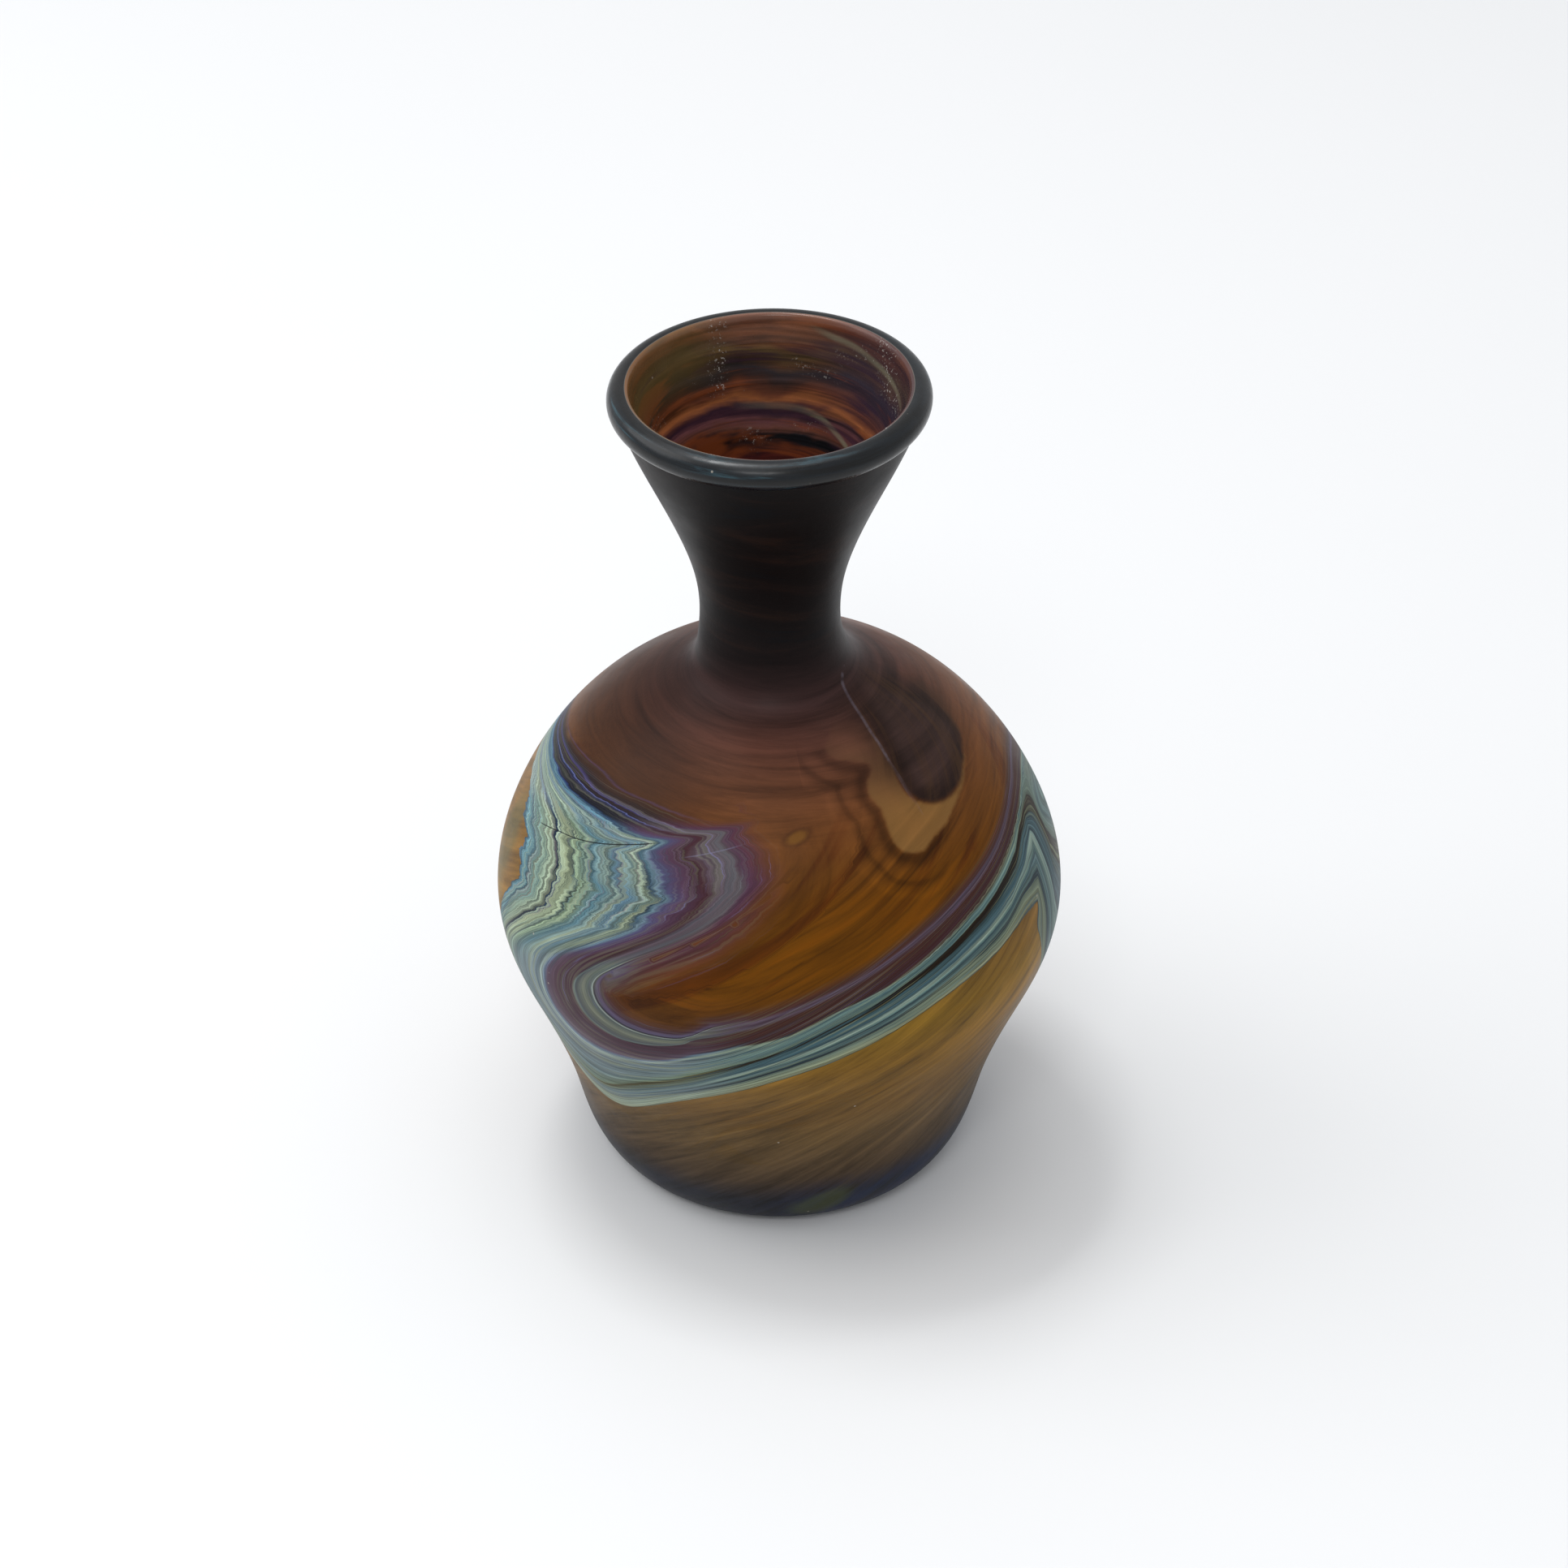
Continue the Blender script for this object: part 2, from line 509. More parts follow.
def make_mesh(name, table, faces, material, slot, node):
    """A mesh object of the rows of the table that its faces use."""
    faces = without_slivers(table, faces)
    used, corners = np.unique(faces, return_inverse=True)
    rows = table[used]
    mesh = bpy.data.meshes.new(name)
    places = lean_and_wobble(rows[:, :3]) * MM
    mesh.from_pydata(places.tolist(), [], corners.reshape(faces.shape).tolist())
    mesh.polygons.foreach_set("use_smooth", [True] * len(mesh.polygons))
    for attribute, column in ATTRIBUTES.items():
        layer = mesh.attributes.new(attribute, "FLOAT_VECTOR", "POINT")
        layer.data.foreach_set("vector", rows[:, column:column + 3].astype(np.float32).ravel())
    mesh.update()
    mesh.normals_split_custom_set_from_vertices(rows[:, 3:6].tolist())
    mesh.materials.append(material)
    made = bpy.data.objects.new(name, mesh)
    bpy.context.scene.collection.objects.link(made)
    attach(made, "root")
    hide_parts(node)


def sheet_of(line, columns, flip=False, inside=0):
    """The vertex table and triangles of a line turned round the axis, outwards on its right-hand side."""
    normals = line_normals(line) * (-1 if flip else 1)
    table = vertex_table(turned_grid(line, columns), turned_grid(normals, columns), inside)
    return table, triangles(grid_faces(len(line), columns, flip))


def join_sheets(sheets):
    """Several tables and their faces as one."""
    tables, faces, start = [], [], 0
    for table, corners in sheets:
        tables.append(table)
        faces.append(corners + start)
        start += len(table)
    return np.concatenate(tables), np.concatenate(faces)


def sunk(table, depth):
    """A copy of the table's surface, moved into the glass."""
    lower = table.copy()
    lower[:, :3] -= table[:, 3:6] * depth
    return lower


def walls(table, lower, edges, outwards):
    """Faces that join a surface's edges to its sunk copy, with their own vertices and normals."""
    top_a, top_b = table[edges[:, 0]], table[edges[:, 1]]
    low_a, low_b = lower[edges[:, 0]], lower[edges[:, 1]]
    made = np.concatenate([top_a, top_b, low_a, low_b])
    normal = np.cross(top_b[:, :3] - top_a[:, :3], top_a[:, 3:6])
    normal /= np.maximum(np.linalg.norm(normal, axis=1), 1e-9)[:, None]
    made[:, 3:6] = np.tile(normal if outwards else -normal, (4, 1))
    a, b, c, d = (np.arange(len(edges)) + i * len(edges) for i in range(4))
    return made, triangles(np.stack([a, c, d, b] if outwards else [a, b, d, c], 1))


# ---- Materials ----

def linear(colour):
    """A colour written as RRGGBB, as the linear values that a shader takes."""
    parts = [int(colour[i:i + 2], 16) / 255 for i in (0, 2, 4)]
    return [p / 12.92 if p <= 0.04045 else ((p + 0.055) / 1.055) ** 2.4 for p in parts] + [1.0]


def put(socket, value):
    """Links a value to a node's input, or sets the input to a number or a colour."""
    if isinstance(value, Value):
        socket.id_data.links.new(value.socket, socket)
    else:
        socket.default_value = linear(value) if isinstance(value, str) else value


def add_node(tree, kind, inputs, **settings):
    """A new node with its settings and inputs."""
    node = tree.nodes.new(kind)
    for key, value in settings.items():
        setattr(node, key, value)
    for key, value in inputs.items():
        put(node.inputs[key], value)
    return node


class Value:
    """A number, vector or colour in a material's node tree, with ordinary arithmetic."""

    def __init__(self, socket):
        self.socket = socket

    def node(self, kind, inputs, **settings):
        return add_node(self.socket.id_data, kind, inputs, **settings)

    def math(self, operation, *others):
        node = self.node("ShaderNodeMath", dict(enumerate((self, *others))), operation=operation)
        return Value(node.outputs[0])

    def __add__(self, other):
        return self.math("ADD", other)

    def __sub__(self, other):
        return self.math("SUBTRACT", other)

    def __mul__(self, other):
        return self.math("MULTIPLY", other)

    def __truediv__(self, other):
        return self.math("DIVIDE", other)

    def __abs__(self):
        return self.math("ABSOLUTE")

    def parts(self):
        """The three parts of a vector."""
        return [Value(part) for part in self.node("ShaderNodeSeparateXYZ", {0: self}).outputs]

    def fit(self, low, high, to_low=0.0, to_high=1.0, kind="SMOOTHSTEP"):
        """to_low at low, to_high at high, and a smooth step between them."""
        inputs = dict(enumerate((self, low, high, to_low, to_high)))
        return Value(self.node("ShaderNodeMapRange", inputs, interpolation_type=kind).outputs[0])

    def line(self, low, high, to_low, to_high):
        """As fit, with a straight line between them."""
        return self.fit(low, high, to_low, to_high, "LINEAR")

    def noise(self, scale, detail=3.0, roughness=0.5, distortion=0.0):
        inputs = {"Vector": self, "Scale": scale, "Detail": detail, "Roughness": roughness,
                  "Distortion": distortion}
        return Value(self.node("ShaderNodeTexNoise", inputs).outputs["Fac"])

    def mix(self, share, other):
        """This colour, mixed with a share of another."""
        return mixed(share, self, other)

    def tint(self, other):
        """This colour multiplied by another colour or a number."""
        return mixed(1.0, self, other, self, "MULTIPLY")

    def curve(self, at, heights):
        """A smooth curve through heights, as a value."""
        low, high = min(heights), max(heights)
        start, width = at[0], at[-1] - at[0]
        node = self.node("ShaderNodeFloatCurve", {1: (self - start) / width})
        points = node.mapping.curves[0].points
        places = [((x - start) / width, (y - low) / (high - low)) for x, y in zip(at, heights)]
        points[0].location, points[1].location = places[0], places[-1]
        for x, y in places[1:-1]:
            points.new(x, y)
        node.mapping.update()
        return Value(node.outputs[0]) * (high - low) + low

    def ramp(self, stops, low, high):
        """Colours along this value, from (value, colour) stops between low and high."""
        node = self.node("ShaderNodeValToRGB", {0: (self - low) / (high - low)})
        points = node.color_ramp.elements
        for i, (at, colour) in enumerate(stops):
            place = (at - low) / (high - low)
            point = points[i] if i < 2 else points.new(place)
            point.position = place
            point.color = linear(colour)
        return Value(node.outputs[0])


def mixed(share, a, b, within=None, blend="MIX"):
    """Two colours mixed by a share. The node goes into the tree of within, or else of the share."""
    node = (within or share).node("ShaderNodeMix", {0: share}, data_type="RGBA", blend_type=blend)
    put(node.inputs[6], a)
    put(node.inputs[7], b)
    return Value(node.outputs[2])


def vector(x, y, z):
    return Value(x.node("ShaderNodeCombineXYZ", {0: x, 1: y, 2: z}).outputs[0])


class Glass:
    """A material, and the values that its tree starts from."""

    def __init__(self, name):
        self.name = name
        self.material = bpy.data.materials.new(name)
        self.material.use_nodes = True
        self.tree = self.material.node_tree
        self.place = Value(add_node(self.tree, "ShaderNodeTexCoord", {}).outputs["Object"])

    def set(self, name, value):
        put(self.tree.nodes["Principled BSDF"].inputs[name], value)

    def attribute(self, name):
        """The three parts of a mesh attribute."""
        source = add_node(self.tree, "ShaderNodeAttribute", {}, attribute_name=name)
        return Value(source.outputs["Vector"]).parts()

    def cells(self, scale):
        """A pattern of cells: the distance from each cell's middle, and each cell's random colour."""
        node = add_node(self.tree, "ShaderNodeTexVoronoi", {"Vector": self.place, "Scale": scale})
        return Value(node.outputs["Distance"]), Value(node.outputs["Color"])

    def bump(self, strength, distance, height):
        inputs = {"Strength": strength, "Distance": distance, "Height": height}
        self.set("Normal", Value(add_node(self.tree, "ShaderNodeBump", inputs).outputs[0]))


# Colours across the band's four stretches: a stripe number, which is 0 on the first guide line, 1 on the
# next and so on, and the colour there.
RIBBON = [
    (-1, "745a20"), (-0.1, "664c1e"), (-0.03, "3a2c1a"), (0.04, "8a8c6e"), (0.45, "808a72"),
    (0.94, "647468"), (1, "28343a"), (1.1, "28343a"), (1.15, "5a6f6a"), (1.28, "4c6266"), (1.32, "24323a"),
    (1.38, "58726e"), (1.48, "88988a"), (1.57, "70847c"), (1.61, "2e4048"), (1.75, "48646c"),
    (1.95, "40585c"), (2.04, "1e150b"), (2.94, "20150b"), (3.04, "66786a"), (3.3, "50686a"),
    (3.55, "66807a"), (3.75, "4a6064"), (3.96, "788a7a"), (4.04, "3a2628"), (4.3, "3c2022"),
    (4.9, "42261f"), (5.1, "584a58"), (5.4, "463440"), (5.7, "5a4c5a"), (6.1, "482c28"), (7, "54320f"),
]
FOLD = [
    (-1, "58452f"), (-0.08, "463a2c"), (0.03, "8c9480"), (0.4, "8f9d8c"), (0.85, "7c8a86"), (1, "4f6068"),
    (1.12, "64747a"), (1.35, "586a6e"), (1.5, "6f7f7a"), (1.65, "55666a"), (1.8, "707c6a"),
    (2.1, "4a4626"), (2.9, "524e2c"), (3.04, "72846e"), (3.3, "687a7c"), (3.6, "64757a"), (3.86, "627078"),
    (3.93, "90a098"), (4, "64748a"), (4.1, "564656"), (4.4, "48343e"), (4.94, "402c36"), (5, "64706c"),
    (5.07, "4c5054"), (5.5, "666a5e"), (5.92, "565e5c"), (5.97, "9aa49e"), (6.03, "28242c"),
    (6.12, "564e66"), (6.3, "42303c"), (6.6, "4e342c"), (7, "523414"),
]
PATCH = [
    (-1, "50443a"), (-0.15, "443c46"), (0, "3c5f74"), (0.5, "688e94"), (0.95, "486874"), (1.1, "789086"),
    (1.3, "5c7a7a"), (1.5, "869c8a"), (1.85, "8e9c86"), (2.08, "1c2a3a"), (2.5, "203044"),
    (2.62, "8a9882"), (2.84, "7c8c80"), (2.92, "2c3c4c"), (3.02, "8c9a80"), (3.14, "8e9c80"),
    (3.18, "34444c"), (3.22, "869a7e"), (3.44, "4c6c78"), (3.6, "84968a"), (3.7, "4c6a7e"),
    (3.82, "708684"), (3.93, "84927e"), (3.99, "34485c"), (4.08, "647c88"), (4.22, "484664"),
    (4.5, "4c364a"), (4.85, "3c2228"), (5.1, "544850"), (5.9, "544e52"), (6.1, "4a2e40"), (7, "582c10"),
]
SHOULDER = [
    (-1, "443c38"), (-0.1, "465064"), (0.1, "90a09c"), (1, "80928e"), (1.6, "909e88"), (2, "64788c"),
    (2.9, "7c8c88"), (3.1, "92a290"), (3.22, "6c8888"), (3.38, "98a890"), (3.5, "6c8490"),
    (3.66, "84988c"), (3.82, "3c6078"), (3.94, "6890a4"), (4.02, "22386c"), (4.2, "12141f"),
    (4.7, "16141c"), (4.94, "1c2040"), (5.02, "5a6296"), (5.12, "1e1822"), (5.85, "241a1c"), (6, "3a3460"),
    (6.15, "241a1c"), (6.68, "2a1c18"), (6.76, "504a80"), (6.86, "2c1c16"), (7, "341f14"),
]


def stripe_number(rib, across):
    """Where a place lies among the guides: 0 on the first, 1 on the next, and so on."""
    ribs = np.linspace(FRONT_RIB - TURN / 2, FRONT_RIB + TURN / 2, 2 * TURN + 1)
    lines = [rib.curve(ribs, guide(ribs)) for guide in guides]
    below = ((across - lines[0]) / 0.25).math("MINIMUM", 0)
    above = ((across - lines[-1]) / 0.5).math("MAXIMUM", 0)
    number = below + above
    for low, high in zip(lines, lines[1:]):
        part = (across - low) / (high - low)
        number = number + part.math("MAXIMUM", 0).math("MINIMUM", 1)
    return number


def band_colour(across, around_x, around_y):
    """The combed band's colour and stripe number: ramps across it, threads along it and zigzags."""
    rib = around_y.math("ARCTAN2", around_x) * (TURN / (2 * math.pi)) + FRONT_RIB
    in_patch = rib.fit(13.2, 15) * rib.fit(23.5, 21)
    in_fold = rib.fit(5.4, 7.2) * rib.fit(15, 13.2)
    in_shoulder = rib.fit(19.7, 20.6) * rib.fit(25, 23.4)
    combed = rib.fit(14.6, 17.4) * rib.fit(23.8, 22.2)

    # the comb pulls the threads into zigzags, deepest at the band's cream edge in the patch on the left
    def wave(scale, detail, roughness, turn):
        return vector(around_x * 6, around_y * 6, across * 0.45 + turn).noise(scale, detail, roughness) - 0.5

    depth = across.fit(0.3, 1.2, 0.72, 0.5) * across.fit(2.1, 2.7, 1, 0.4)
    pull = wave(1.35, 5, 0.6, 0) * depth * combed.fit(0, 1, 0.08, 1) + wave(0.5, 1, 0.5, 9) * 0.06
    # the threads stand up in a tooth at the crease
    off_crease = abs(rib - across.fit(1.1, 2.2, CREASE_RIB - 0.12, CREASE_RIB + 0.16))
    tooth = off_crease.fit(0, 0.3, 1, 0) * across.fit(1, 2.1, 0, 0.2)
    # on the right the stripes turn down sharply, in nested peaks
    off_peak = rib + across * 1.3 + 1.2
    low_part = across.fit(1, 0.8)
    point = abs(off_peak).line(0, 1.2, 1, 0) * across.fit(-0.1, 0.35, 0.02, 0.3) * low_part
    drop = off_peak.line(0, -2, 0, 0.35) * rib.fit(-8, -5.5) * low_part * across.fit(-0.12, 0.02)
    moved = across + pull - tooth - point + drop
    stripe = stripe_number(rib, moved)

    colour = stripe.ramp(RIBBON, EDGE_BELOW, EDGE_ABOVE)
    for share, stops in ((in_fold, FOLD), (in_patch, PATCH), (in_shoulder, SHOULDER)):
        colour = colour.mix(share, stripe.ramp(stops, EDGE_BELOW, EDGE_ABOVE))

    # threads of thinner and thicker glass along the stripes, plainest in the purple
    def threads(closeness, detail, turn):
        return vector(around_x * 0.8, around_y * 0.8 + turn, moved * closeness).noise(1, detail, 0.85)

    pale = stripe.fit(4, 4.2, 1, 0.3)
    purple = stripe.fit(4, 4.2)
    light = threads(12, 4, 0).line(0.34, 0.66, -0.62, 0.4) * stripe.fit(4, 4.2, 1, 0.55) + 1
    thin = (threads(26, 4, 31).line(0.38, 0.62, 0.5, 1.42) - 1) * pale * 0.8 + 1
    hue = threads(8, 3, 7)
    colour = colour.tint(light)
    colour = colour.mix(hue.fit(0.53, 0.66) * pale * 0.6, "3d5a62")
    colour = colour.mix(hue.fit(0.47, 0.36) * pale * 0.45, "8d9474")
    colour = colour.mix(threads(14, 3, 25).fit(0.56, 0.64) * combed * pale * 0.5, "80747c")
    colour = colour.mix(threads(15, 4, 13).fit(0.4, 0.34) * pale * 0.7, "22323c")
    colour = colour.mix(threads(16, 3, 19).fit(0.62, 0.68, 0, 0.5) * purple, "6c6890")
    colour = colour.tint(thin)

    # the crease's dark cut, and a fainter line that carries on from it
    cut = off_crease.fit(0.012, 0.03, 0.9, 0) * across.fit(0.4, 0.6) * across.fit(2.2, 2)
    second = abs(rib - (CREASE_RIB - 0.38)).fit(0.008, 0.028, 0.32, 0)
    second = second * across.fit(2.2, 2.45) * across.fit(3, 2.7)
    return colour.mix(cut, "14161a").mix(second, "7c7a94"), stripe


# The amber's colour by level, below the band and above it.
AMBER_BELOW = [
    (0.2, "181a20"), (0.8, "28272a"), (1.3, "46382a"), (1.9, "57442c"), (2.5, "634c2b"), (3.1, "6a4e26"),
    (3.7, "765726"), (4.3, "7f5c1f"), (5.0, "80601d"), (5.7, "7c5a26"),
]
AMBER_ABOVE = [
    (4.4, "4c2c16"), (5.2, "57330e"), (5.8, "5e3601"), (6.6, "613801"), (7.1, "5f3603"), (7.5, "603810"),
    (7.9, "673d1c"), (8.3, "5e3822"), (8.7, "4e2f25"), (9.05, "3a2725"), (9.35, "261918"), (9.7, "130a0a"),
    (10.4, "0c0606"), (14.2, "0b0707"),
]
# Light and dark lines in the amber round the drape, at even steps from 8 mm outside it to its edge.
CONTOURS = [1, 1.05, 1.12, 1.16, 1.1, 1, 0.86, 0.7, 0.9, 1.05, 1.08, 1, 0.82, 0.62, 0.52, 0.62, 0.85]


def amber_colour(glass, band, swirl, tint, patch):
    """The vessel's own glass: golden to brown amber with flowing streaks, near black at the neck."""
    across, around_x, around_y = band
    swirl_x, swirl_y, rise = swirl
    ochre, green, _ = tint
    in_drape, in_dark, from_hair = patch
    x, y, z = glass.place.parts()
    twist = vector(swirl_x * 4.5, swirl_y * 4.5, rise * 0.35)
    from_axis = (x * x + y * y).math("SQRT")
    streak = twist.noise(2.2, 6, 0.7, 0.5)
    cloud = twist.noise(0.9, 5, 0.65, 0.9)
    flow = vector(around_x, around_y, across * 1.7).noise(1.5, 6, 0.62, 0.8)
    ring = vector(x * 26, y * 26, (z - from_axis) * 230).noise(1, 6, 0.68, 0.6)
    cloudy_rise = cloud + rise

    # lighter and darker streaks: below the band, above it, and in rings on the shoulder
    above = across.fit(0.8, 1.2)
    colour = rise.ramp(AMBER_BELOW, 0, 6).mix(above, rise.ramp(AMBER_ABOVE, 4, 14.2))
    lower = streak.line(0.32, 0.68, 0.56, 1.3) + cloud.line(0.3, 0.7, -0.34, 0.36)
    upper = flow.line(0.32, 0.68, 0.52, 1.36) + cloud.line(0.3, 0.7, -0.1, 0.16)
    upper = upper.mix(cloudy_rise.fit(7.9, 8.9), ring.line(0.32, 0.68, 0.56, 1.42))
    colour = colour.tint(lower.mix(above, upper))

    # redder and yellower clouds, a darker left shoulder, the neck's streaks and the blue-black foot
    red = cloud.fit(0.5, 0.36) * above * rise.fit(8.3, 7.5, 0, 0.45)
    colour = colour.mix(red, colour.tint("c07850"))
    yellow = flow.fit(0.52, 0.64) * rise.fit(7.4, 6.6, 0, 0.5)
    colour = colour.mix(yellow, colour.tint("fff0a0"))
    left = x.fit(-0.005, -0.021) * rise.fit(7.4, 8) * above * rise.fit(9.8, 8.8, 0.3, 0.62)
    colour = colour.mix(left, "100a0a")
    neck = rise.fit(9.4, 10.2, 0, 0.7)
    colour = colour.mix(neck * ring.fit(0.5, 0.66), "1f110b")
    colour = colour.mix(neck * ring.fit(0.46, 0.34), "06080d")
    foot = cloudy_rise.fit(1.9, 1.1) * streak.fit(0.36, 0.56) * x.fit(-0.005, 0.012, 0.15, 0.65)
    colour = colour.mix(foot, "1e2946")

    # the tan drape on the right shoulder with the lines round it, the dark patch and the hair line
    ragged = (glass.place.noise(260, 3, 0.55) - 0.5) * 1.3
    drape = in_drape + ragged
    dark = in_dark + ragged * 1.2
    reach = drape.fit(-8, -6.5) * rise.fit(8.8, 8.45) * x.fit(0.0285, 0.024)
    contours = drape.curve(np.linspace(-8, 0, len(CONTOURS)), CONTOURS)
    colour = colour.tint((contours - 1) * reach + 1)
    tan = mixed(rise.fit(7.8, 8.7), "7d5a30", "5c3d2c").tint(flow.line(0.3, 0.7, 0.86, 1.14))
    colour = colour.mix(drape.fit(-0.4, 0.6) * rise.fit(8.95, 8.45, 0, 0.92), tan)
    shadow = mixed(dark.fit(1, 4), "271915", "3a2925").tint(ring.line(0.3, 0.7, 0.62, 1.4))
    shadow = shadow.mix(cloud.fit(0.46, 0.62, 0, 0.5), "4a3320")
    shown = dark.fit(-0.5, 0.8).mix(rise.fit(7.9, 8.45), dark.fit(-6.5, 3))
    colour = colour.mix(shown * rise.fit(9.3, 8.7), shadow)
    colour = colour.mix(from_hair.fit(0.08, 0.4, 0.28, 0) * ring.fit(0.3, 0.6, 0.4, 1), "807a88")

    # ochre spots with a dark rim, and green clouds
    colour = colour.mix(ochre.fit(0.25, 0.45, 0, 0.3), "2c180c")
    colour = colour.mix(ochre.fit(0.38, 0.8, 0, 0.5), "80561f")
    green_cloud = (cloud - 0.5) * 0.5 + green
    return colour.mix(green_cloud.fit(0.4, 0.75, 0, 0.45), "4c5232")


def specks(glass, colour):
    """Pale dust and tiny pits on the skin, in a few of many small cells."""
    distance, cell_colour = glass.cells(420)
    chance = Value(cell_colour.node("ShaderNodeSeparateColor", {0: cell_colour}).outputs[0])
    return colour.mix(distance.fit(0.05, 0.1, 0.5, 0) * chance.fit(0.955, 0.965), "b5ada0")


def outer_glass(name, roughness):
    """Glass of the vessel or of a trail. Both read one pattern, so that it runs on across their joins."""
    glass = Glass(name)
    band, swirl, tint, patch = (glass.attribute(n) for n in ATTRIBUTES)
    colour, stripe = band_colour(*band)
    in_band = stripe.fit(-0.12, -0.04) * stripe.fit(6.15, 7, 1, 0)
    colour = specks(glass, amber_colour(glass, band, swirl, tint, patch).mix(in_band, colour))
    if name == "amber_glass":
        colour = colour.mix(tint[2], inside_colour(glass, swirl[2]))
    glass.set("Base Color", colour)
    glass.set("IOR", 1.5)
    glass.set("Specular IOR Level", 0.08)

    # the hand-worked, etched skin: soft gloss that varies, and fine grain
    worn = glass.place.noise(60, 5, 0.65)
    glass.set("Roughness", worn.line(0.3, 0.7, roughness - 0.07, roughness + 0.09))
    grain = glass.place.noise(2600, 3, 0.6)
    waves = glass.place.noise(130, 3, 0.5)
    glass.bump(0.12, 0.0006, grain * 0.25 + waves * 0.75)
    return glass.material


MOUTH = [  # the inside's colours by level
    (11.5, "2a1012"), (11.97, "441915"), (12.08, "1d0e14"), (12.18, "12151a"), (12.32, "1a191d"),
    (12.42, "54332a"), (12.55, "5c383a"), (12.68, "342127"), (12.82, "7e4a2a"), (12.94, "5a3120"),
    (13.1, "33221e"), (13.24, "2b2528"), (13.4, "4c3422"), (13.56, "58442a"), (13.7, "50301f"),
    (13.88, "704630"), (14.0, "5a3a2c"),
]
ARCS = [  # two pale lines on its far side: millimetres to the right of the middle, and level
    [(4, 13.88), (8, 13.75), (11.5, 13.7), (14.2, 13.63), (17, 13.56), (19, 13.4)],
    [(-8, 12.7), (-2.5, 12.66), (3, 12.64), (5.9, 12.58), (8.7, 12.44), (10.3, 12.33), (12, 12.18)],
]


def inside_colour(glass, rise):
    """The inside of the flared mouth, where light comes through: orange, red, olive and blue-black."""
    x, y, z = glass.place.parts()
    from_middle = x * 1000

    def drawn_round(round_scale, rise_scale, detail, bend):
        return vector(x * round_scale, y * round_scale, z * rise_scale).noise(1, detail, 0.6, bend)

    colour = (drawn_round(42, 70, 4, 0.6) - 0.5 + rise).ramp(MOUTH, 11.5, 14)
    colour = colour.tint(drawn_round(20, 520, 5, 0.8).line(0.36, 0.64, 0.36, 1.6))
    warm = drawn_round(26, 300, 4, 0.7)
    colour = colour.mix(warm.fit(0.53, 0.66, 0, 0.6), "7c3c1a")
    colour = colour.mix(warm.fit(0.45, 0.34, 0, 0.65), "2a1626")
    colour = colour.mix(x.fit(-0.005, -0.016) * rise.fit(12.9, 13.5) * 0.5, "64532f")
    colour = colour.mix(x.fit(0.003, 0.015) * rise.fit(12.5, 13.1) * 0.55, "262030")
    for arc in ARCS:
        across, height = zip(*arc)
        off = abs(rise - from_middle.curve(across, height))
        shown = off.fit(0.015, 0.075, 0.55, 0) * warm.fit(0.34, 0.56, 0.35, 1) * y.fit(0, 0.002)
        ends = from_middle.fit(across[0], across[0] + 5) * from_middle.fit(across[-1], across[-1] - 1.5)
        colour = colour.mix(shown * ends, "76735f")
    colour = colour.mix(rise.fit(11.9, 10.6, 0, 0.85), "120d0c")

    # white dust down the left and right of the far side, and a little elsewhere
    back_left = abs(from_middle + 9.3).fit(0.5, 1.9, 1, 0) * rise.fit(12.8, 13.1)
    back_right = abs(from_middle - 16.5).fit(0.6, 2.2, 0.9, 0) * rise.fit(13.2, 13.4)
    elsewhere = glass.place.noise(150, 2).fit(0.6, 0.7, 0, 0.5)
    dusty = back_left.math("MAXIMUM", back_right).math("MAXIMUM", elsewhere)
    dusty = dusty * glass.place.noise(420, 2).fit(0.42, 0.56, 0.2, 1)
    return colour.mix(glass.place.noise(2300, 2, 0.7).fit(0.58, 0.68) * dusty * 0.75, "b4aea8")


def lip_glass():
    """The bead: dark, glossier glass with blue-green streaks drawn round it."""
    glass = Glass("lip_glass")
    rise, inside = glass.attribute("swirl")[2], glass.attribute("tint")[2]
    x, y, z = glass.place.parts()
    streak = vector(x * 40, y * 40, z * 900).noise(1, 5, 0.65, 0.4)
    colour = mixed(streak.fit(0.42, 0.58), "020304", "0b1116")
    colour = colour.mix(streak.fit(0.58, 0.7, 0, 0.7), "33505a")
    colour = colour.mix(streak.fit(0.36, 0.3, 0, 0.7), "22151c")
    colour = colour.mix(inside.fit(0.3, 0.45) * inside.fit(0.7, 0.55) * 0.55, "766e66")
    colour = colour.mix(inside.fit(0.5, 0.65), inside_colour(glass, rise))
    glass.set("Base Color", specks(glass, colour))
    glass.set("Roughness", glass.place.noise(160, 3, 0.6).line(0.3, 0.7, 0.2, 0.34))
    glass.bump(0.15, 0.0005, glass.place.noise(220, 3, 0.5))
    glass.set("IOR", 1.5)
    glass.set("Specular IOR Level", 0.34)
    return glass.material


def scar_glass():
    """Broken amber glass: glossy shell-like breaks."""
    glass = Glass("scar_glass")
    chips, _ = glass.cells(500)
    glass.set("Base Color", mixed(chips, "3a2210", "7a5228"))
    glass.set("Roughness", chips.line(0.1, 0.8, 0.12, 0.4))
    glass.bump(0.5, 0.0008, chips)
    return glass.material


# ---- The pieces ----

def make_outside():
    """The vessel's outer surface, cut along the trails' edges: its table, faces, and their places across."""
    fine = clamped_spline(OUTLINE, 6000)
    weight = np.where((fine[:, 1] > 20) & (fine[:, 1] < 84), 1.15, 0.85)
    line = even_points(fine, OUTER_ROWS, weight)
    table, faces = sheet_of(line, COLUMNS)
    for edge in sorted({edge for edges in TRAILS.values() for edge in edges}):
        table, faces = split_faces(table, faces, ACROSS, edge)
    normals = table[:, 3:6]
    normals /= np.linalg.norm(normals, axis=1)[:, None]
    return table, faces, table[:, ACROSS][faces].mean(axis=1)


